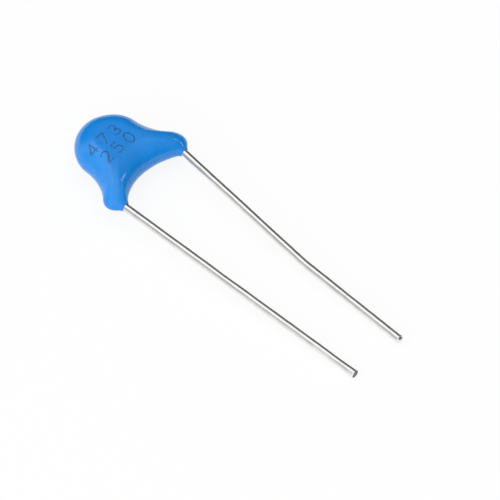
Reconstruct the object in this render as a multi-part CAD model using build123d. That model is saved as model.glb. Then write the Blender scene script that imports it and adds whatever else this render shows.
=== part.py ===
# Ceramic disc capacitor: a silvered ceramic disc between two soldered wire leads, dipped in epoxy.
# It lies on its back on the plane Z = 0, printed face up. X runs across the two leads, the leads run
# towards -Y, and the origin is under the centre of the disc. Lengths in millimetres, angles in degrees.
import os
from math import acos, asin, atan, atan2, cos, degrees, hypot, radians, sin

from build123d import *

# Ceramic disc and the silver electrodes fired on its two faces
ceramic_radius = 2.15
ceramic_thickness = 0.9
ceramic_edge_chamfer = 0.1
electrode_margin = 0.2
electrode_thickness = 0.04

# Tinned wire leads
wire_diameter = 0.6
lead_pitch = 6.4
right_lead_length = 21.65
right_lead_bend_at = 12.55
right_lead_angle = 5.6
right_lead_end_angle = 1.4
left_lead_length = 20.85
left_lead_bend_inside = 0.25
left_lead_angle = 1.76
bend_radius = 9.0
kink_radius = 0.6
kink_inside_leg = 1.0
wire_clear_of_ceramic = 0.35
wire_past_centre = 0.9
tip_bevel = 0.16

# Solder that holds each wire on its electrode
solder_under_wire = 0.02
solder_width = 1.4
solder_length = 2.5
solder_height = 0.42
solder_taper = 28.0
solder_offset = 0.25

# Dipped epoxy coating
coat_over_edge = 0.55
coat_over_wire = 0.34
coat_at_web = 0.93
coat_on_leg = 0.57
right_leg_below_web = 0.88
left_leg_below_web = 1.13
flank_radius = 4.25
flat_share = 0.35
flat_leg_share = 0.25
flat_corner_radius = 0.5
crown_exponent = 1.8
rim_exponent = 1.8
section_angles = (20, 42, 62, 79)
collar_foot = 0.2
collar_depth = 0.3
collar_length = 0.15
collar_thickness = 0.04

# Sizes that follow from those above
wire_radius = wire_diameter / 2
half_pitch = lead_pitch / 2
electrode_radius = ceramic_radius - electrode_margin
electrode_face = ceramic_thickness / 2 + electrode_thickness
wire_height = electrode_face + solder_under_wire + wire_radius
middle_height = wire_height + wire_radius + coat_over_wire
coat_radius = ceramic_radius + coat_over_edge
web_distance = ceramic_radius + coat_at_web
nose_radius = wire_radius + coat_on_leg
right_leg_end = web_distance + right_leg_below_web
left_leg_end = web_distance + left_leg_below_web
right_nose = (half_pitch, nose_radius - right_leg_end)
left_nose = (half_pitch, nose_radius - left_leg_end)
right_kink = (half_pitch, kink_inside_leg - right_leg_end)
left_kink = (-half_pitch, kink_inside_leg - left_leg_end)
middle = Location((0, 0, middle_height))


def polar(centre, radius, angle):
    """Point at a radius and an angle in radians round a centre."""
    return (centre[0] + radius * cos(angle), centre[1] + radius * sin(angle))


def direction(start, end):
    """Angle in radians of the line from start to end."""
    return atan2(end[1] - start[1], end[0] - start[0])


def half_outline(disc, web, nose, corner, side, height):
    """One half of the coating's outline at one height, of arcs that are tangent to one another: down from
    the far end of the disc, along the hollow flank, round the nose of the leg, and up the hollow web."""
    reach = hypot(*nose)
    flank_reach = disc + flank_radius
    flank_to_nose = flank_radius + corner
    opening = acos((reach**2 + flank_reach**2 - flank_to_nose**2) / (2 * reach * flank_reach))
    flank_centre = polar((0, 0), flank_reach, direction((0, 0), nose) + opening)
    nose_below_web = -nose[1] - web
    web_radius = (nose[0]**2 + nose_below_web**2 - corner**2) / 2 / (corner + nose_below_web)
    web_centre = (0, -web - web_radius)

    disc_to = direction((0, 0), flank_centre)
    flank_from = disc_to + radians(180)
    flank_to = direction(flank_centre, nose) + radians(360)
    nose_from = flank_to - radians(180)
    nose_to = direction(nose, web_centre)
    web_from = nose_to + radians(180)
    web_to = radians(90)

    def arc(centre, radius, start, end):
        ends = [polar(centre, radius, angle) for angle in (start, (start + end) / 2, end)]
        return ThreePointArc(*[(side * x, y, height) for x, y in ends])

    return [
        arc((0, 0), disc, radians(90), disc_to),
        arc(flank_centre, flank_radius, flank_from, flank_to),
        arc(nose, corner, nose_from, nose_to),
        arc(web_centre, web_radius, web_from, web_to),
    ]


def coating_section(angle):
    """Outline at one angle from the rim, 0, to the flat of a face, 90 in front and -90 at the rear. The
    legs draw in faster than the disc, so each face is a crown with a smooth shoulder along the web."""
    rim = abs(cos(radians(angle)))
    crown = abs(sin(radians(angle)))
    share = flat_share + (1 - flat_share) * rim ** (2 / crown_exponent)
    leg_share = flat_leg_share + (1 - flat_leg_share) * rim
    corner = nose_radius * rim**2 + flat_corner_radius * crown**6
    rise = crown ** (2 / rim_exponent)
    height = middle_height * (1 + rise) if angle > 0 else middle_height * (1 - rise)
    arcs = []
    for side, nose in ((1, right_nose), (-1, left_nose)):
        drawn_nose = (leg_share * nose[0], leg_share * nose[1])
        arcs += half_outline(share * coat_radius, share * web_distance, drawn_nose, corner, side, height)
    return Wire(arcs)


def coating_form():
    """Outer form of the coating, lofted from the rear flat over the rim to the front flat."""
    rear_angles = [-angle for angle in reversed(section_angles)]
    angles = [-90, *rear_angles, 0, *section_angles, 90]
    return Solid.make_loft([coating_section(angle) for angle in angles])


def lead_slope(length):
    """Angle in radians at which a lead drops from the middle of the coating to lie on its tip."""
    return asin(middle_height / hypot(length, wire_radius)) - atan(wire_radius / length)


def run_direction(side, angle, slope):
    """Unit vector of a lead's run towards its tip, turned inwards by an angle and sloping down."""
    inwards = radians(angle)
    return Vector(-side * sin(inwards) * cos(slope), -cos(inwards) * cos(slope), -sin(slope))


def lead(kink_point, face, length, runs):
    """One wire: from its tip, through the leg of the coating, to its place on the electrode."""
    side = 1 if kink_point[0] > 0 else -1
    kink = Vector(*kink_point, middle_height)
    slope = lead_slope(length + kink_inside_leg)
    points = [kink]
    for run_length, angle in runs:
        points.append(points[-1] + run_direction(side, angle, slope) * run_length)
    points.reverse()
    towards_leg = Vector(kink.X, kink.Y, 0).normalized()
    clear_radius = ceramic_radius + wire_clear_of_ceramic
    level = Vector(0, 0, middle_height + face * wire_height)
    points.append(level + towards_leg * clear_radius)
    points.append(level - towards_leg * wire_past_centre)
    radii = [bend_radius] * (len(points) - 4) + [kink_radius, kink_radius]
    path = FilletPolyline(*points, radius=radii)
    section = Plane(origin=points[0], z_dir=points[1] - points[0]) * Circle(wire_radius)
    wire = sweep(section, path=path)
    return wire, points


def bevel_tip(wire, tip, along):
    """Snip the upper outer edge of a lead's tip."""
    across = Vector(0, 0, 1) - along * Vector(0, 0, 1).dot(along)
    corner = tip + across.normalized() * wire_radius
    normal = (across.normalized() + along).normalized()
    above = (Align.CENTER, Align.CENTER, Align.MIN)
    cutter = Box(2 * wire_diameter, 2 * wire_diameter, wire_diameter, align=above)
    return wire - Plane(origin=corner - normal * tip_bevel, z_dir=normal) * cutter


def electrode(face):
    """Silver layer on one face of the ceramic disc."""
    height = face * (ceramic_thickness + electrode_thickness) / 2
    return middle * Pos(0, 0, height) * Cylinder(electrode_radius, electrode_thickness)


def solder(kink_point, face, wire):
    """Mound of solder along one wire, with sloping sides, on its electrode."""
    turn = degrees(direction((0, 0), kink_point))
    spacing = solder_length - solder_width
    profile = Pos(solder_offset, 0) * SlotCenterToCenter(spacing, solder_width)
    mound = extrude(profile, amount=solder_height, taper=solder_taper)
    seat = middle * Rot(0, 0, turn) * Pos(0, 0, face * electrode_face)
    if face < 0:
        seat = seat * Rot(180, 0, 0)
    return seat * mound - wire


def collar(tip, inner, inside_leg):
    """Skin of epoxy that thins out of a leg's nose along the wire. The inner point is that deep in the leg."""
    along = (tip - inner).normalized()
    lip = wire_radius + collar_thickness
    length = collar_depth + collar_length
    profile = make_face(Polyline((0, 0), (lip + collar_foot, 0), (lip, length), (0, length), close=True))
    turned = revolve(Plane.XZ * profile, Axis.Z)
    return Plane(origin=inner + along * (inside_leg - collar_depth), z_dir=along) * turned


right_runs = [(right_lead_bend_at + kink_inside_leg, right_lead_angle),
              (right_lead_length - right_lead_bend_at, right_lead_end_angle)]
left_runs = [(kink_inside_leg - left_lead_bend_inside, 0),
             (left_lead_length + left_lead_bend_inside, left_lead_angle)]
right_lead, right_points = lead(right_kink, 1, right_lead_length, right_runs)
left_lead, left_points = lead(left_kink, -1, left_lead_length, left_runs)
right_lead = bevel_tip(right_lead, right_points[0], (right_points[0] - right_points[1]).normalized())

ceramic_disc = Cylinder(ceramic_radius, ceramic_thickness)
ceramic_disc = middle * chamfer(ceramic_disc.edges().filter_by(GeomType.CIRCLE), ceramic_edge_chamfer)
front_electrode = electrode(1)
rear_electrode = electrode(-1)
front_solder = solder(right_kink, 1, right_lead)
rear_solder = solder(left_kink, -1, left_lead)

coating = coating_form()
coating = coating + collar(right_points[-4], right_points[-3], kink_inside_leg)
coating = coating + collar(left_points[-5], left_points[-4], left_lead_bend_inside)
for content in (ceramic_disc, front_electrode, rear_electrode, front_solder, rear_solder,
                right_lead, left_lead):
    coating = coating - content

nodes = {
    "coating": coating,
    "ceramic_disc": ceramic_disc,
    "front_electrode": front_electrode,
    "rear_electrode": rear_electrode,
    "front_solder": front_solder,
    "rear_solder": rear_solder,
    "right_lead": right_lead,
    "left_lead": left_lead,
}

os.makedirs("parts", exist_ok=True)
for name, shape in nodes.items():
    export_step(shape, "parts/" + name + ".step")
    print(name, "volume", round(shape.volume, 4))
print("right lead points", [tuple(round(value, 3) for value in point) for point in right_points])
print("left lead points", [tuple(round(value, 3) for value in point) for point in left_points])
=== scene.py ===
import math

import bpy
import numpy as np
from mathutils import Matrix, Vector


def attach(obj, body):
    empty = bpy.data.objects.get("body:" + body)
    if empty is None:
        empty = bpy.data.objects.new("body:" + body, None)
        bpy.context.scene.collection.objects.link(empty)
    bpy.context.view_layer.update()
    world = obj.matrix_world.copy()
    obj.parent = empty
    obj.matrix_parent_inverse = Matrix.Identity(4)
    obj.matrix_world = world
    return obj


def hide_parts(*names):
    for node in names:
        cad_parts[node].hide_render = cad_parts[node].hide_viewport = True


# A small blue dipped capacitor lying on its back, with two tinned wire leads.
# Everything below is worked out in millimetres and goes into the meshes in metres.

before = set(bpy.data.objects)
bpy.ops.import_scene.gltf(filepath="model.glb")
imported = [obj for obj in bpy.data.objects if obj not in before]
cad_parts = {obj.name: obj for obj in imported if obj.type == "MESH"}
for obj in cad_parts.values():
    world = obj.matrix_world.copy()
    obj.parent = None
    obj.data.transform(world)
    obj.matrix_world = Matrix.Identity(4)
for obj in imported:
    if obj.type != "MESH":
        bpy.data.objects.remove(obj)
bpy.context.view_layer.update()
mm = 0.001


# Small helpers for materials and meshes

def fromHex(code):
    # sRGB hex to linear: below 0.04045 a straight line, above it a power of 2.4
    channels = [int(code[i:i + 2], 16) / 255 for i in (1, 3, 5)]
    return [c / 12.92 if c <= 0.04045 else ((c + 0.055) / 1.055) ** 2.4 for c in channels] + [1.0]


def addNode(tree, kind, settings=None, links=None):
    # settings: attribute name or input name to value, links: input name to another node's output
    node = tree.nodes.new(kind)
    for key, value in (settings or {}).items():
        if key in node.inputs:
            node.inputs[key].default_value = value
        else:
            setattr(node, key, value)
    for key, output in (links or {}).items():
        tree.links.new(output, node.inputs[key])
    return node


def newMaterial(name):
    material = bpy.data.materials.new(name)
    material.use_nodes = True
    tree = material.node_tree
    tree.nodes.clear()
    return material, tree


def setRamp(node, stops):
    # stops: (place, hex colour), from left to right, as many as the ramp's own two
    for element, (place, colour) in zip(node.color_ramp.elements, stops):
        element.position = place
        element.color = fromHex(colour)


def unit(vectors):
    # each vector divided by its length, and by no less than a tiny length
    return vectors / np.maximum(np.linalg.norm(vectors, axis=-1, keepdims=True), 1e-12)


def gridMesh(name, points, endPoints, uv=None):
    # points: rows x columns x 3 in millimetres, closed round the columns, with each end row closed by a
    # fan to one of the two end points. The columns run anticlockwise seen from the last row's side, so that
    # the faces point outwards. uv: rows x (columns + 1) x 2, with a value on each side of the seam
    rows, columns = points.shape[:2]
    corners = np.arange(rows * columns).reshape(rows, columns)
    following = np.roll(corners, -1, axis=1)
    quads = np.stack([corners[:-1], following[:-1], following[1:], corners[1:]], axis=-1).reshape(-1, 4)
    firstFan = np.stack([following[0], corners[0], np.full(columns, rows * columns)], axis=-1)
    lastFan = np.stack([corners[-1], following[-1], np.full(columns, rows * columns + 1)], axis=-1)
    faces = quads.tolist() + firstFan.tolist() + lastFan.tolist()
    vertices = np.concatenate([points.reshape(-1, 3), np.array(endPoints)]) * mm
    mesh = bpy.data.meshes.new(name)
    mesh.from_pydata(vertices.tolist(), [], faces)
    mesh.polygons.foreach_set("use_smooth", np.ones(len(faces), bool))
    if uv is not None:
        near, far = uv[:, :-1], uv[:, 1:]
        quadUv = np.stack([near[:-1], far[:-1], far[1:], near[1:]], axis=2)
        firstUv = np.stack([far[0], near[0], (far[0] + near[0]) / 2], axis=1)
        lastUv = np.stack([near[-1], far[-1], (far[-1] + near[-1]) / 2], axis=1)
        cornerUv = np.concatenate([part.reshape(-1, 2) for part in (quadUv, firstUv, lastUv)])
        layer = mesh.uv_layers.new(name="alongWire")
        layer.uv.foreach_set("vector", cornerUv.astype(np.float32).ravel())
    mesh.update()
    piece = bpy.data.objects.new(name, mesh)
    bpy.context.scene.collection.objects.link(piece)
    return piece


def gridNormals(points):
    # square to the steps along the columns and along the rows
    around = np.roll(points, -1, axis=1) - np.roll(points, 1, axis=1)
    upward = np.gradient(points, axis=0)
    return unit(np.cross(around, upward))


def waves(points, kind, seed):
    # height times a sum of sine waves in random directions, with wavelengths from shortest to longest
    rng = np.random.default_rng(seed)
    directions = unit(rng.normal(size=(kind["count"], 3)))
    lengths = kind["shortest"] * (kind["longest"] / kind["shortest"]) ** rng.random(kind["count"])
    phases = rng.random(kind["count"]) * 2 * np.pi
    angles = points @ (directions / lengths[:, None]).T * 2 * np.pi + phases
    return kind["height"] * (np.sin(angles).sum(axis=-1) / math.sqrt(kind["count"]))


# The dipped coating

coatingShape = {
    "discRadius": 2.665,
    "webDistance": 3.06,          # from the disc's centre to the web between the legs
    "legPitch": 6.4,
    "rightLegEnd": 3.96,          # from the line across the disc's centre to the end of the leg
    "leftLegEnd": 4.21,
    "noseRadius": 0.87,           # of the rounded end of a leg
    "flankRadius": 4.25,          # of the hollow between the disc and a leg
    "middleHeight": 1.45,         # of the rim over the floor, and over the rear flat
    "frontHeight": 1.38,          # of the front flat over the rim
    "flatShare": 0.4,             # of the disc's and the web's size, left on the flats
    "flatLegShare": 0.25,         # of the legs' reach, left on the flats
    "flatCornerRadius": 0.5,
    # the form follows an oval from the rim to each flat: 2 is a true oval, and less is more pointed
    "crownExponent": 2.0,
    "rimExponent": 1.95,
    "faceDome": 0.03,
    "sections": 97,
    "flatRings": 12,
    "arcPoints": (64, 26, 44, 40),
    "smoothPasses": 14,
    "smoothIn": 0.5,              # how far a pass moves a point in, and the next one back
    "smoothOut": 0.53,
    "dipWaves": {"height": 0.012, "count": 16, "shortest": 1.6, "longest": 4.5},
    "dipSeed": 11,
    "collarHeight": 0.2,
    "collarReach": 0.15,
    "collarPower": 1.5,
    "collarRoot": 0.5,            # how deep in the leg the collar starts, and over what depth it grows
    "collarEase": 0.4,
}


def arcGrid(centreX, centreY, radius, start, end, count):
    # points on an arc for every section at once: centre + radius * (cos, sin) of evenly spaced angles
    share = np.linspace(0, 1, count, endpoint=False)[None, :]
    angle = start + (end - start) * share
    return np.stack([centreX + radius * np.cos(angle), centreY + radius * np.sin(angle)], axis=-1)


def halfOutlines(shape, disc, web, noseX, noseY, corner):
    # one half of each section's outline, of tangent arcs: the disc's edge, the hollow flank, the nose of
    # the leg and the hollow web. The flank's centre is where its reach from the disc and the nose meet.
    flank = shape["flankRadius"]
    reach = np.hypot(noseX, noseY)
    flankReach = disc + flank
    opening = np.arccos((reach**2 + flankReach**2 - (flank + corner)**2) / (2 * reach * flankReach))
    discTo = np.arctan2(noseY, noseX) + opening
    flankX, flankY = flankReach * np.cos(discTo), flankReach * np.sin(discTo)
    below = -noseY - web
    webRadius = (noseX**2 + below**2 - corner**2) / 2 / (corner + below)
    webY = -web - webRadius
    flankTo = np.arctan2(noseY - flankY, noseX - flankX) + 2 * np.pi
    noseTo = np.arctan2(webY - noseY, -noseX)
    counts = shape["arcPoints"]
    zero = np.zeros_like(disc)
    return np.concatenate([
        arcGrid(zero, zero, disc, np.pi / 2 + zero, discTo, counts[0]),
        arcGrid(flankX, flankY, flank + zero, discTo + np.pi, flankTo, counts[1]),
        arcGrid(noseX, noseY, corner, flankTo - np.pi, noseTo, counts[2]),
        arcGrid(zero, webY, webRadius, noseTo + np.pi, np.pi / 2 + zero, counts[3]),
    ], axis=1)


def coatingSurface(shape):
    # sections from the rear flat (-90 degrees) over the rim (0) to the front flat (90). A section is
    # smaller by a power of the cosine and higher by a power of the sine. The legs draw in faster, and the
    # corners at their ends go from the nose's radius at the rim to the flat's.
    angle = np.radians(np.linspace(-90, 90, shape["sections"]))[:, None]
    rim, crown = np.abs(np.cos(angle)), np.abs(np.sin(angle))
    share = shape["flatShare"] + (1 - shape["flatShare"]) * rim ** (2 / shape["crownExponent"])
    legShare = shape["flatLegShare"] + (1 - shape["flatLegShare"]) * rim
    corner = shape["noseRadius"] * rim**2 + shape["flatCornerRadius"] * crown**6
    reach = np.where(angle > 0, shape["frontHeight"], shape["middleHeight"])
    height = shape["middleHeight"] + reach * np.sign(angle) * crown ** (2 / shape["rimExponent"])
    halves = []
    for legEnd in (shape["rightLegEnd"], shape["leftLegEnd"]):
        noseX = legShare * shape["legPitch"] / 2
        noseY = legShare * (shape["noseRadius"] - legEnd)
        halves.append(halfOutlines(shape, share * shape["discRadius"], share * shape["webDistance"],
                                   noseX, noseY, corner))
    right, left = halves
    left = left * np.array([-1.0, 1.0])
    webPoint = np.stack([np.zeros_like(share), -share * shape["webDistance"]], axis=-1)
    # clockwise from the far end down the right half and up the left half, and then turned round
    outline = np.concatenate([right, webPoint, left[:, :0:-1]], axis=1)[:, ::-1]
    heights = np.broadcast_to(height[:, :, None], outline.shape[:2] + (1,))
    rows = np.concatenate([outline, heights], axis=2)

    # the two flats: rings that shrink to the middle, the front one slightly domed
    shrink = np.linspace(0, 1, shape["flatRings"] + 1)[1:-1]
    factor = np.stack([1 - shrink, 1 - shrink, np.ones_like(shrink)], axis=-1)[:, None, :]
    front = rows[-1][None] * factor
    front[..., 2] += shape["faceDome"] * ((1 - (1 - shrink)**2)**2)[:, None]
    rear = (rows[0][None] * factor)[::-1]
    return np.concatenate([rear, rows, front])


def smoothGrid(points, shape):
    # a pass moves each point towards the mean of its neighbours along and across the rows, and the next
    # pass a little further back, so that creases between the arcs go and the form keeps its size. The two
    # end rows stay where they are
    points = points.copy()
    for step in range(2 * shape["smoothPasses"]):
        share = shape["smoothIn"] if step % 2 == 0 else -shape["smoothOut"]
        along = (np.roll(points, 1, axis=1) + np.roll(points, -1, axis=1)) / 2
        across = points.copy()
        across[1:-1] = (points[:-2] + points[2:]) / 2
        moved = points + share * ((along + across) / 2 - points)
        moved[[0, -1]] = points[[0, -1]]
        points = moved
    return points


def addCollar(points, shape, exitPoint, along, wireRadius):
    # epoxy drawn out along the wire by its height times e^-(distance from the wire / reach)^power, on the
    # outer side of the leg only
    offset = points - exitPoint
    depth = offset @ along
    away = np.linalg.norm(offset - depth[..., None] * along, axis=-1)
    bell = np.exp(-(np.maximum(away - wireRadius, 0) / shape["collarReach"])**shape["collarPower"])
    outside = np.clip((depth + shape["collarRoot"]) / shape["collarEase"], 0, 1)
    return points + (shape["collarHeight"] * bell * outside)[..., None] * along


# The wire leads: their paths from the tip to the end on the electrode, as in the solid model

wireShape = {
    "radius": 0.3,
    "around": 56,
    "ringSpacing": 0.12,          # along the straight runs
    "bendSpacing": 0.04,          # round the bends
    "tinWaves": {"height": 0.006, "count": 14, "shortest": 0.7, "longest": 5.0},
    "tinRuns": {"height": 0.01, "count": 8, "shortest": 2.0, "longest": 9.0},
    "tipShares": (0.2, 0.4, 0.6, 0.72, 0.82, 0.9, 0.96, 1.0),
    "tipEase": 3.0,               # how many radii behind the tip the rings stand square again
    "endShares": (0.95, 0.6, 0.3),
}
rightWirePath = {
    "points": [(1.657, -25.513, 0.3), (1.879, -16.428, 0.762), (3.2, -2.96, 1.45),
               (1.835, -1.698, 2.26), (-0.661, 0.611, 2.26)],
    "bends": [9.0, 0.6, 0.6],
    "tipBevel": 0.08,             # how far the snip reaches down the upper edge of the tip
    "tipRound": 0.17,             # how far the rim lies behind the middle of the tip
    "roundFrom": 0.0,             # the share of the radius at which that starts
    "bareEnd": False,
    "wavesSeed": 21,
    "runsSeed": 71,
}
leftWirePath = {
    "points": [(-2.553, -25.02, 0.3), (-3.2, -3.959, 1.411), (-3.2, -3.21, 1.45),
               (-1.765, -1.771, 0.64), (0.635, 0.637, 0.64)],
    "bends": [9.0, 0.6, 0.6],
    "tipBevel": 0.0,
    "tipRound": 0.05,
    "roundFrom": 0.8,
    "bareEnd": True,
    "wavesSeed": 22,
    "runsSeed": 72,
}


def bentLine(path, shape):
    # straight runs joined by arcs that touch both runs: an arc starts radius * tan(turn / 2) before its
    # corner, and its points are start + radius * (sin * run + (1 - cos) * inwards)
    points = np.array(path["points"], float)
    runs = unit(points[1:] - points[:-1])
    pieces, last = [], points[0]
    for corner, radius, before, after in zip(points[1:-1], path["bends"], runs[:-1], runs[1:]):
        turn = math.acos(np.clip(before @ after, -1, 1))
        cut = radius * math.tan(turn / 2)
        start = corner - before * cut
        inwards = unit(after - before * (before @ after))
        count = max(2, int(np.linalg.norm(start - last) / shape["ringSpacing"]))
        pieces.append(last + (start - last) * np.linspace(0, 1, count, endpoint=False)[:, None])
        count = max(4, int(turn * radius / shape["bendSpacing"]))
        angles = np.linspace(0, turn, count, endpoint=False)[:, None]
        pieces.append(start + radius * (np.sin(angles) * before + (1 - np.cos(angles)) * inwards))
        last = corner + after * cut
    count = max(2, int(np.linalg.norm(points[-1] - last) / shape["ringSpacing"]))
    pieces.append(last + (points[-1] - last) * np.linspace(0, 1, count)[:, None])
    return np.concatenate(pieces)


def wireTube(name, path, shape):
    # a ring round every point of the line, square to it. Near the tip the rings lean to the snipped face,
    # whose rim is rounded, and smaller rings close both ends.
    line = bentLine(path, shape)
    tangent = unit(np.gradient(line, axis=0))
    side = unit(np.cross(tangent, np.array([0.0, 0.0, 1.0])))
    up = np.cross(side, tangent)
    radius, around = shape["radius"], shape["around"]
    angle = np.linspace(0, 2 * np.pi, around, endpoint=False)
    offset = (np.cos(angle)[None, :, None] * side[:, None, :]
              + np.sin(angle)[None, :, None] * up[:, None, :])
    rings = line[:, None, :] + radius * offset
    swell = (waves(rings, shape["tinWaves"], path["wavesSeed"])
             + waves(rings, shape["tinRuns"], path["runsSeed"]))
    rings = rings - np.abs(swell)[..., None] * offset

    # the tip: rings of rising size on the cut face, set back where the bevel and the round take it away
    def cutFace(share):
        across = share * radius
        bevel = np.maximum(0, across * np.sin(angle) - (radius - path["tipBevel"]))
        rim = path["tipRound"] * max(0.0, (share - path["roundFrom"]) / (1 - path["roundFrom"])) ** 2
        return line[0] + across * offset[0] + (bevel + rim)[:, None] * tangent[0]

    tip = np.stack([cutFace(share) for share in shape["tipShares"]])
    setBack = (tip[-1] - (line[0] + radius * offset[0])) @ tangent[0]
    length = np.concatenate([[0], np.cumsum(np.linalg.norm(np.diff(line, axis=0), axis=1))])
    ease = np.clip(1 - length / (shape["tipEase"] * radius), 0, 1)[1:]
    rings = rings[1:] + (ease[:, None] * setBack[None, :])[..., None] * tangent[1:, None, :]
    inner = np.stack([line[-1] + share * radius * offset[-1] for share in shape["endShares"]])
    points = np.concatenate([tip, rings, inner])

    # u runs round the wire and v along it, both in millimetres
    tipRows, endRows = len(tip), len(inner)
    row = np.concatenate([np.full(tipRows, length[0]), length[1:], np.full(endRows, length[-1])])
    column = np.linspace(0, 2 * math.pi * radius, around + 1)
    uv = np.stack(np.broadcast_arrays(column[None, :], row[:, None]), axis=-1)

    # the rows go in from the end on the electrode to the tip, so that the faces point outwards
    piece = gridMesh(name, points[::-1], [line[-1], line[0]], uv[::-1])
    cutFaces = np.zeros(len(piece.data.polygons), np.int32)
    if path["bareEnd"]:
        # the tip's faces are the last ones of the wall, up to the rounded rim, and the last fan
        wallFaces = (len(points) - 1) * around
        cutFaces[wallFaces - (tipRows - 2) * around:wallFaces] = 1
        cutFaces[-around:] = 1
    return piece, cutFaces


print("shaping the coating")
grid = smoothGrid(coatingSurface(coatingShape), coatingShape)
dips = waves(grid, coatingShape["dipWaves"], coatingShape["dipSeed"])
grid = grid + dips[..., None] * gridNormals(grid)
for path, legEnd in ((rightWirePath, "rightLegEnd"), (leftWirePath, "leftLegEnd")):
    kink = np.array(path["points"][-3])
    along = unit(np.array(path["points"][-4]) - kink)
    exitPoint = kink + along * (coatingShape[legEnd] + kink[1])
    grid = addCollar(grid, coatingShape, exitPoint, along, wireShape["radius"])
grid[..., 2] = np.clip(grid[..., 2], 0, None)
flatMiddles = [(0, 0, grid[0, :, 2].mean()), (0, 0, grid[-1, :, 2].mean())]
coatingSkin = gridMesh("coatingSkin", grid, flatMiddles)
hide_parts("coating")

print("drawing the wires")
rightWire, rightCut = wireTube("rightWire", rightWirePath, wireShape)
leftWire, leftCut = wireTube("leftWire", leftWirePath, wireShape)
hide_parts("right_lead")
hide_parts("left_lead")


# The print on the face: plain figures stamped in thin strokes of ink

printShape = {
    # each row: its figures, the middle of each figure across the face, and the height of its foot
    "rows": [("473", (-1.78, -0.62, 0.45), -0.28), ("250", (-1.6, -0.52, 0.66), -1.5)],
    "figureHeight": 0.92,
    "figureWidth": 0.62,
    "slant": 0.05,
    "strokeWidth": 0.105,
    "inkThickness": 0.005,
    "stepLength": 0.03,
    "arcPoints": 40,
    "around": 12,
    "endWidths": (0.6, 0.95),     # of the stroke's width, at its two first and two last points
}

# strokes of a figure in a box one wide and one high: lists of points, rounded where marked with an arc
# given as (centre x, centre y, radius x, radius y, from degrees, to degrees)
figureStrokes = {
    "0": [[("arc", 0.5, 0.5, 0.5, 0.5, 0, 360)]],
    "2": [[("arc", 0.5, 0.72, 0.46, 0.28, 165, -35), (0.02, 0.0), (0.98, 0.0)]],
    "3": [[("arc", 0.46, 0.75, 0.44, 0.25, 150, -90), ("arc", 0.48, 0.25, 0.5, 0.25, 90, -150)]],
    "4": [[(0.72, 0.0), (0.72, 1.0), (0.0, 0.3), (1.0, 0.3)]],
    "5": [[(0.9, 1.0), (0.14, 1.0), (0.08, 0.56), ("arc", 0.46, 0.31, 0.5, 0.31, 125, -150)]],
    "7": [[(0.0, 1.0), (0.98, 1.0), (0.3, 0.0)]],
}


def strokeLine(parts, shape):
    # joins the parts into one line, slants it and spaces its points evenly
    corners = []
    for part in parts:
        if part[0] == "arc":
            centreX, centreY, radiusX, radiusY, start, end = part[1:]
            angle = np.radians(np.linspace(start, end, shape["arcPoints"]))
            arc = np.stack([centreX + radiusX * np.cos(angle), centreY + radiusY * np.sin(angle)], axis=1)
            corners += arc.tolist()
        else:
            corners.append(part)
    corners = np.array(corners) * np.array([shape["figureWidth"], shape["figureHeight"]])
    corners[:, 0] += shape["slant"] * corners[:, 1]
    reach = np.concatenate([[0], np.cumsum(np.linalg.norm(np.diff(corners, axis=0), axis=1))])
    places = np.linspace(0, reach[-1], max(3, int(reach[-1] / shape["stepLength"])))
    return np.stack([np.interp(places, reach, corners[:, axis]) for axis in (0, 1)], axis=1)


def onFace(flat, facePlaces, faceNormals):
    # height and normal of the coating's face over each point: the tangent plane of the nearest grid point
    nearest = ((flat[:, None, :] - facePlaces[None, :, :2])**2).sum(axis=-1).argmin(axis=1)
    place, normal = facePlaces[nearest], faceNormals[nearest]
    height = place[:, 2] - ((flat - place[:, :2]) * normal[:, :2]).sum(axis=-1) / normal[:, 2]
    return np.concatenate([flat, height[:, None]], axis=1), normal


def inkStroke(name, line, normal, shape):
    # a flattened tube along the line, half sunk in the coating: width across, thickness along the normal
    tangent = unit(np.gradient(line, axis=0))
    side = unit(np.cross(normal, tangent))
    angle = np.linspace(0, 2 * np.pi, shape["around"], endpoint=False)
    taper = np.ones(len(line))
    taper[[0, -1]], taper[[1, -2]] = shape["endWidths"]
    across = shape["strokeWidth"] / 2 * taper[:, None, None] * np.cos(angle)[None, :, None]
    rise = shape["inkThickness"] * np.sin(angle)[None, :, None]
    rings = line[:, None, :] + across * side[:, None, :] + rise * normal[:, None, :]
    return gridMesh(name, rings, [line[0], line[-1]])


def joined(name, pieces):
    # all the pieces as one
    bpy.ops.object.select_all(action="DESELECT")
    for piece in pieces:
        piece.select_set(True)
    bpy.context.view_layer.objects.active = pieces[0]
    bpy.ops.object.join()
    pieces[0].name = name
    pieces[0].data.name = name
    return pieces[0]


print("stamping the print")
frontHalf = slice(len(grid) // 2, None)
facePlaces = grid[frontHalf].reshape(-1, 3)
faceNormals = gridNormals(grid)[frontHalf].reshape(-1, 3)
strokes = []
for figures, places, foot in printShape["rows"]:
    for figure, place in zip(figures, places):
        for parts in figureStrokes[figure]:
            flat = strokeLine(parts, printShape)
            flat = flat + np.array([place - printShape["figureWidth"] / 2, foot])
            line, normal = onFace(flat, facePlaces, faceNormals)
            strokes.append(inkStroke("inkStroke", line, normal, printShape))
facePrint = joined("facePrint", strokes)


# Materials. The scale of each noise is one over the size of its patches in millimetres

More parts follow.
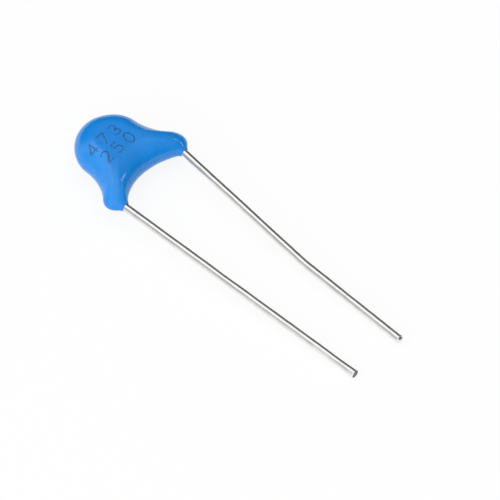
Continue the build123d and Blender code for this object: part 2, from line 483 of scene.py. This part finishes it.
def dippedEpoxy():
    # Liquid epoxy, dipped and cured: a deep even blue with a wet gloss, very slightly wavy like orange
    # peel, pigment a little thinner here and there. The waves are 0.45 mm wide and the thin places 2.2 mm,
    # and the pigment's grain, really far finer, is drawn 0.16 mm wide to show
    material, tree = newMaterial("dippedEpoxy")
    place = addNode(tree, "ShaderNodeTexCoord").outputs["Object"]
    cloud = addNode(tree, "ShaderNodeTexNoise", {"Scale": 1 / (2.2 * mm), "Detail": 3.0}, {"Vector": place})
    grain = addNode(tree, "ShaderNodeTexNoise", {"Scale": 1 / (0.16 * mm), "Detail": 2.0}, {"Vector": place})
    tone = addNode(tree, "ShaderNodeMix", {"data_type": "FLOAT", "Factor": 0.35},
                   {"A": cloud.outputs["Fac"], "B": grain.outputs["Fac"]})
    colour = addNode(tree, "ShaderNodeValToRGB", links={"Fac": tone.outputs[0]})
    setRamp(colour, [(0.3, "#1080d5"), (0.7, "#1b8be3")])
    peel = addNode(tree, "ShaderNodeTexNoise", {"Scale": 1 / (0.45 * mm), "Detail": 1.5}, {"Vector": place})
    relief = addNode(tree, "ShaderNodeBump", {"Strength": 0.35, "Distance": 0.004 * mm},
                     {"Height": peel.outputs["Fac"]})
    shine = addNode(tree, "ShaderNodeMapRange", {"To Min": 0.1, "To Max": 0.2},
                    {"Value": grain.outputs["Fac"]})
    shader = addNode(tree, "ShaderNodeBsdfPrincipled", {"IOR": 1.5},
                     {"Base Color": colour.outputs["Color"], "Normal": relief.outputs["Normal"],
                      "Roughness": shine.outputs["Result"]})
    addNode(tree, "ShaderNodeOutputMaterial", links={"Surface": shader.outputs["BSDF"]})
    return material


def tinnedWire():
    # Copper-clad steel wire, hot dipped in tin: bright and nearly neutral, with faint draw lines along it
    # and patches where the tin set duller. The lines are 0.05 mm wide, as fine as shows, and 4 mm long, and
    # the patches are 0.5 mm by 0.8 mm
    material, tree = newMaterial("tinnedWire")
    uvMap = addNode(tree, "ShaderNodeUVMap", {"uv_map": "alongWire"}).outputs["UV"]
    lines = addNode(tree, "ShaderNodeMapping", {"Scale": (1 / 0.05, 1 / 4.0, 1.0)}, {"Vector": uvMap})
    draw = addNode(tree, "ShaderNodeTexNoise", {"Scale": 1.0, "Detail": 3.0},
                   {"Vector": lines.outputs["Vector"]})
    spots = addNode(tree, "ShaderNodeMapping", {"Scale": (1 / 0.5, 1 / 0.8, 1.0)}, {"Vector": uvMap})
    patch = addNode(tree, "ShaderNodeTexNoise", {"Scale": 1.0, "Detail": 4.0},
                    {"Vector": spots.outputs["Vector"]})
    colour = addNode(tree, "ShaderNodeValToRGB", links={"Fac": patch.outputs["Fac"]})
    setRamp(colour, [(0.3, "#e2e2e0"), (0.7, "#f5f5f3")])
    shine = addNode(tree, "ShaderNodeMapRange", {"To Min": 0.1, "To Max": 0.24},
                    {"Value": patch.outputs["Fac"]})
    relief = addNode(tree, "ShaderNodeBump", {"Strength": 0.5, "Distance": 0.002 * mm},
                     {"Height": draw.outputs["Fac"]})
    shader = addNode(tree, "ShaderNodeBsdfPrincipled", {"Metallic": 1.0},
                     {"Base Color": colour.outputs["Color"], "Roughness": shine.outputs["Result"],
                      "Normal": relief.outputs["Normal"]})
    addNode(tree, "ShaderNodeOutputMaterial", links={"Surface": shader.outputs["BSDF"]})
    return material


def snippedSteel():
    # The sheared end of the wire: bare dark steel, torn a little rough in grains of 0.08 mm
    material, tree = newMaterial("snippedSteel")
    place = addNode(tree, "ShaderNodeTexCoord").outputs["Object"]
    tear = addNode(tree, "ShaderNodeTexNoise", {"Scale": 1 / (0.08 * mm), "Detail": 4.0}, {"Vector": place})
    colour = addNode(tree, "ShaderNodeValToRGB", links={"Fac": tear.outputs["Fac"]})
    setRamp(colour, [(0.3, "#565452"), (0.7, "#8c8a86")])
    relief = addNode(tree, "ShaderNodeBump", {"Strength": 0.6, "Distance": 0.008 * mm},
                     {"Height": tear.outputs["Fac"]})
    shader = addNode(tree, "ShaderNodeBsdfPrincipled", {"Metallic": 1.0, "Roughness": 0.5},
                     {"Base Color": colour.outputs["Color"], "Normal": relief.outputs["Normal"]})
    addNode(tree, "ShaderNodeOutputMaterial", links={"Surface": shader.outputs["BSDF"]})
    return material


def stampInk():
    # Thin dark blue marking ink, cured: matte, a little uneven where the stamp pressed less
    material, tree = newMaterial("stampInk")
    place = addNode(tree, "ShaderNodeTexCoord").outputs["Object"]
    worn = addNode(tree, "ShaderNodeTexNoise", {"Scale": 1 / (0.3 * mm), "Detail": 3.0}, {"Vector": place})
    colour = addNode(tree, "ShaderNodeValToRGB", links={"Fac": worn.outputs["Fac"]})
    setRamp(colour, [(0.35, "#1c5081"), (0.7, "#286fb4")])
    shader = addNode(tree, "ShaderNodeBsdfPrincipled", {"IOR": 1.5, "Roughness": 0.42},
                     {"Base Color": colour.outputs["Color"]})
    addNode(tree, "ShaderNodeOutputMaterial", links={"Surface": shader.outputs["BSDF"]})
    return material


def sinteredCeramic():
    # Pressed and sintered barium titanate: tan, dense and matte, with a fine powder grain, drawn 0.05 mm
    # wide to show
    material, tree = newMaterial("sinteredCeramic")
    place = addNode(tree, "ShaderNodeTexCoord").outputs["Object"]
    grain = addNode(tree, "ShaderNodeTexNoise", {"Scale": 1 / (0.05 * mm), "Detail": 4.0}, {"Vector": place})
    colour = addNode(tree, "ShaderNodeValToRGB", links={"Fac": grain.outputs["Fac"]})
    setRamp(colour, [(0.3, "#a98a67"), (0.7, "#c2a27c")])
    relief = addNode(tree, "ShaderNodeBump", {"Strength": 0.4, "Distance": 0.004 * mm},
                     {"Height": grain.outputs["Fac"]})
    shader = addNode(tree, "ShaderNodeBsdfPrincipled", {"IOR": 1.6, "Roughness": 0.75},
                     {"Base Color": colour.outputs["Color"], "Normal": relief.outputs["Normal"]})
    addNode(tree, "ShaderNodeOutputMaterial", links={"Surface": shader.outputs["BSDF"]})
    return material


def softMetal(name, finish):
    # A metal layer that set from paste or melt: tone, gloss and relief from one noise of the grain's real
    # size, with the roughness a little either side of its middle
    material, tree = newMaterial(name)
    place = addNode(tree, "ShaderNodeTexCoord").outputs["Object"]
    grain = addNode(tree, "ShaderNodeTexNoise", {"Scale": 1 / (finish["grainSize"] * mm), "Detail": 4.0},
                    {"Vector": place})
    colour = addNode(tree, "ShaderNodeValToRGB", links={"Fac": grain.outputs["Fac"]})
    setRamp(colour, [(0.3, finish["dark"]), (0.7, finish["light"])])
    shine = addNode(tree, "ShaderNodeMapRange", {"To Min": finish["glossy"], "To Max": finish["dull"]},
                    {"Value": grain.outputs["Fac"]})
    relief = addNode(tree, "ShaderNodeBump", {"Strength": 0.4, "Distance": finish["depth"] * mm},
                     {"Height": grain.outputs["Fac"]})
    shader = addNode(tree, "ShaderNodeBsdfPrincipled", {"Metallic": 1.0},
                     {"Base Color": colour.outputs["Color"], "Roughness": shine.outputs["Result"],
                      "Normal": relief.outputs["Normal"]})
    addNode(tree, "ShaderNodeOutputMaterial", links={"Surface": shader.outputs["BSDF"]})
    return material


# fired silver paste is white and satin, its grain a few hundredths of a millimetre; solder is greyer and
# smoother, with ripples of a quarter of a millimetre
firedSilver = {"dark": "#d5d4ce", "light": "#eeede8", "grainSize": 0.04, "glossy": 0.34, "dull": 0.5,
               "depth": 0.003}
softSolder = {"dark": "#a9abad", "light": "#cfd1d2", "grainSize": 0.25, "glossy": 0.2, "dull": 0.36,
              "depth": 0.01}

print("mixing the materials")
coatingSkin.data.materials.append(dippedEpoxy())
facePrint.data.materials.append(stampInk())
wireMetal, cutMetal = tinnedWire(), snippedSteel()
for wire, cutFaces in ((rightWire, rightCut), (leftWire, leftCut)):
    wire.data.materials.append(wireMetal)
    if cutFaces.any():
        wire.data.materials.append(cutMetal)
    wire.data.polygons.foreach_set("material_index", cutFaces)

silver = softMetal("firedSilver", firedSilver)
solderMetal = softMetal("softSolder", softSolder)
innerFinishes = {
    "ceramic_disc": sinteredCeramic(),
    "front_electrode": silver,
    "rear_electrode": silver,
    "front_solder": solderMetal,
    "rear_solder": solderMetal,
}
for nodeName, finish in innerFinishes.items():
    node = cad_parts[nodeName]
    node.data.materials.clear()
    node.data.materials.append(finish)

for piece in (coatingSkin, rightWire, leftWire, facePrint):
    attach(piece, "root")


# The floor, the light and the camera. A turn is an angle from +X towards +Y, and a rise one from the floor

studio = {
    "floorSize": 900.0,
    "floorTone": "#f4f5f5",
    "floorGlow": 0.88,            # the share of plain white in what is seen of the floor
    "skyLight": 1.3,
    "keyTurn": 174.0,
    "keyRise": 22.0,
    "keySize": 200.0,
    "keyDistance": 420.0,
    "keyPower": 0.12,
    # the middle turn, the middle rise, the width and the height of each small window
    "glints": [(-13.0, 39.0, 9.0, 3.0), (-13.0, 33.0, 9.0, 3.0), (-28.0, 26.5, 8.0, 6.0)],
    "glintDistance": 380.0,
    "glintTone": 4.0,
    "cameraAzimuth": -47.83,
    "cameraElevation": 53.0,
    "cameraDistance": 280.0,
    "aimRight": 9.689,            # from the origin to the middle of the picture, along its sides
    "aimUp": -6.3205,
    "pixelsPerMm": 14.178,        # at the camera's distance
    "pictureWidth": 500,
    "sensorWidth": 36.0,
    "clipNear": 1.0,
    "clipFar": 10000.0,
}

# cards: the turns and rises that each one spans, the widths of its soft edges at the low and high turn and
# at the low and high rise, its brightness, and whether it keeps light off the object too or shows in
# reflections alone
studioCards = {
    # the dark side of the room, low on the right and fading upwards and to the sides, under a grey scrim
    "darkFlag": {"turns": (-120, 120), "rises": (0, 60), "edges": (30, 30, 0, 42), "distance": 390.0,
                 "tone": 0.03, "lights": True},
    "greyScrim": {"turns": (-130, 100), "rises": (0, 80), "edges": (35, 40, 0, 25), "distance": 395.0,
                  "tone": 0.3, "lights": False},
    # two that only the wires and the highest parts of the coating mirror: a grey one beyond the left lead
    # and a bright one overhead
    "greyBoard": {"turns": (124, 176), "rises": (-1, 60), "edges": (12, 16, 0, 14), "distance": 385.0,
                  "tone": 0.55, "lights": False},
    "brightBox": {"turns": (58, 132), "rises": (48, 84), "edges": (16, 16, 8, 0), "distance": 386.0,
                  "tone": 1.5, "lights": False},
}
cardColumns, cardRows = 49, 33


def seenRays(tree):
    # 1 for camera, mirror and glass rays, 0 for the rays that light the object
    rays = addNode(tree, "ShaderNodeLightPath")
    first = addNode(tree, "ShaderNodeMath", {"operation": "MAXIMUM"},
                    {0: rays.outputs["Is Camera Ray"], 1: rays.outputs["Is Glossy Ray"]})
    second = addNode(tree, "ShaderNodeMath", {"operation": "MAXIMUM"},
                     {0: first.outputs[0], 1: rays.outputs["Is Transmission Ray"]})
    return second.outputs[0]


def whiteFloor():
    # Matte white paper sweep: mostly white where it is looked at, with a share left for the soft shadow
    material, tree = newMaterial("whiteFloor")
    paper = addNode(tree, "ShaderNodeBsdfDiffuse", {"Color": fromHex(studio["floorTone"])})
    glow = addNode(tree, "ShaderNodeEmission", {"Color": (1, 1, 1, 1), "Strength": 1.0})
    share = addNode(tree, "ShaderNodeMath", {"operation": "MULTIPLY"}, {0: seenRays(tree)})
    share.inputs[1].default_value = studio["floorGlow"]
    mix = addNode(tree, "ShaderNodeMixShader",
                  links={0: share.outputs[0], 1: paper.outputs[0], 2: glow.outputs[0]})
    addNode(tree, "ShaderNodeOutputMaterial", links={"Surface": mix.outputs[0]})
    return material


def domePoints(turn, rise, distance):
    # places on a dome over the object: distance * (cos rise * cos turn, cos rise * sin turn, sin rise)
    turn, rise = np.radians(turn), np.radians(rise)
    across = np.cos(rise)
    return distance * np.stack([across * np.cos(turn), across * np.sin(turn), np.sin(rise)], axis=-1)


def softEdge(inside, width):
    # 0 at the edge, 1 from its width inwards, and 3 t^2 - 2 t^3 between. An edge without a width is hard
    share = np.clip(inside / width, 0, 1) if width else np.ones_like(inside)
    return share * share * (3 - 2 * share)


def studioCard(name, values):
    # a curved card on the dome. Its cover is how solid it is, the product of its four soft edges
    (turnFrom, turnTo), (riseFrom, riseTo) = values["turns"], values["rises"]
    turn, rise = np.meshgrid(np.linspace(turnFrom, turnTo, cardColumns),
                             np.linspace(riseFrom, riseTo, cardRows))
    points = domePoints(turn, rise, values["distance"]) * mm
    cover = np.ones_like(turn)
    insides = (turn - turnFrom, turnTo - turn, rise - riseFrom, riseTo - rise)
    for inside, width in zip(insides, values["edges"]):
        cover = cover * softEdge(inside, width)
    corners = np.arange(cardRows * cardColumns).reshape(cardRows, cardColumns)
    quads = np.stack([corners[:-1, :-1], corners[:-1, 1:], corners[1:, 1:], corners[1:, :-1]], axis=-1)
    mesh = bpy.data.meshes.new(name)
    mesh.from_pydata(points.reshape(-1, 3).tolist(), [], quads.reshape(-1, 4).tolist())
    layer = mesh.attributes.new("cover", "FLOAT", "POINT")
    layer.data.foreach_set("value", cover.astype(np.float32).ravel())
    material, tree = newMaterial(name)
    solid = addNode(tree, "ShaderNodeAttribute", {"attribute_name": "cover"})
    clear = addNode(tree, "ShaderNodeBsdfTransparent")
    glow = addNode(tree, "ShaderNodeEmission", {"Color": (1, 1, 1, 1), "Strength": values["tone"]})
    mix = addNode(tree, "ShaderNodeMixShader",
                  links={0: solid.outputs["Fac"], 1: clear.outputs[0], 2: glow.outputs[0]})
    addNode(tree, "ShaderNodeOutputMaterial", links={"Surface": mix.outputs[0]})
    mesh.materials.append(material)
    card = bpy.data.objects.new(name, mesh)
    card.visible_camera = False
    card.visible_diffuse = values["lights"]
    card.visible_transmission = False
    card.visible_shadow = False
    bpy.context.scene.collection.objects.link(card)


print("setting up the studio")
half = studio["floorSize"] / 2 * mm
floorCorners = [(-half, -half, 0), (half, -half, 0), (half, half, 0), (-half, half, 0)]
floorMesh = bpy.data.meshes.new("floor")
floorMesh.from_pydata(floorCorners, [], [(0, 1, 2, 3)])
floor = bpy.data.objects.new("floor", floorMesh)
floor.data.materials.append(whiteFloor())
bpy.context.scene.collection.objects.link(floor)

for name, values in studioCards.items():
    studioCard(name, values)
# small bright windows with hard edges, which make the glints on the legs
for number, (turn, rise, width, height) in enumerate(studio["glints"]):
    studioCard("glint" + str(number), {
        "turns": (turn - width / 2, turn + width / 2), "rises": (rise - height / 2, rise + height / 2),
        "edges": (0, 0, 0, 0), "distance": studio["glintDistance"], "tone": studio["glintTone"],
        "lights": False})

# the air: the sky's light on the object, and plain white where it is looked at or mirrored
world = bpy.data.worlds.new("studioAir")
bpy.context.scene.world = world
world.use_nodes = True
air = world.node_tree
air.nodes.clear()
lighting = addNode(air, "ShaderNodeBackground", {"Color": (1, 1, 1, 1), "Strength": studio["skyLight"]})
backdrop = addNode(air, "ShaderNodeBackground", {"Color": (1, 1, 1, 1), "Strength": 1.0})
airMix = addNode(air, "ShaderNodeMixShader",
                 links={0: seenRays(air), 1: lighting.outputs[0], 2: backdrop.outputs[0]})
addNode(air, "ShaderNodeOutputWorld", links={"Surface": airMix.outputs[0]})

# a broad soft lamp, kept out of reflections, which show the bright room instead
keyPlace = Vector(domePoints(studio["keyTurn"], studio["keyRise"], studio["keyDistance"]).tolist())
keyLamp = bpy.data.lights.new("keyLight", "AREA")
keyLamp.shape = "SQUARE"
keyLamp.size = studio["keySize"] * mm
keyLamp.energy = studio["keyPower"]
keyLight = bpy.data.objects.new("keyLight", keyLamp)
keyFacing = (-keyPlace).to_track_quat("-Z", "Y").to_matrix().to_4x4()
keyLight.matrix_world = Matrix.Translation(keyPlace * mm) @ keyFacing
keyLight.visible_glossy = False
bpy.context.scene.collection.objects.link(keyLight)

# camera: looks down the line of the given azimuth and elevation at a point set off to the right and down
azimuth, elevation = math.radians(studio["cameraAzimuth"]), math.radians(studio["cameraElevation"])
rightward = Vector((math.cos(azimuth), math.sin(azimuth), 0))
backward = Vector((math.cos(elevation) * math.sin(azimuth), -math.cos(elevation) * math.cos(azimuth),
                   math.sin(elevation)))
upward = backward.cross(rightward)
aim = rightward * studio["aimRight"] + upward * studio["aimUp"]
cameraData = bpy.data.cameras.new("photoCamera")
cameraData.sensor_width = studio["sensorWidth"]
cameraData.lens = (studio["pixelsPerMm"] * studio["cameraDistance"] / studio["pictureWidth"]
                   * studio["sensorWidth"])
cameraData.clip_start = studio["clipNear"] * mm
cameraData.clip_end = studio["clipFar"] * mm
camera = bpy.data.objects.new("photoCamera", cameraData)
cameraFacing = Matrix((rightward, upward, backward)).transposed().to_4x4()
camera.matrix_world = Matrix.Translation((aim + backward * studio["cameraDistance"]) * mm) @ cameraFacing
bpy.context.scene.collection.objects.link(camera)
bpy.context.scene.camera = camera
bpy.context.scene.view_settings.view_transform = "Standard"

print("finished")
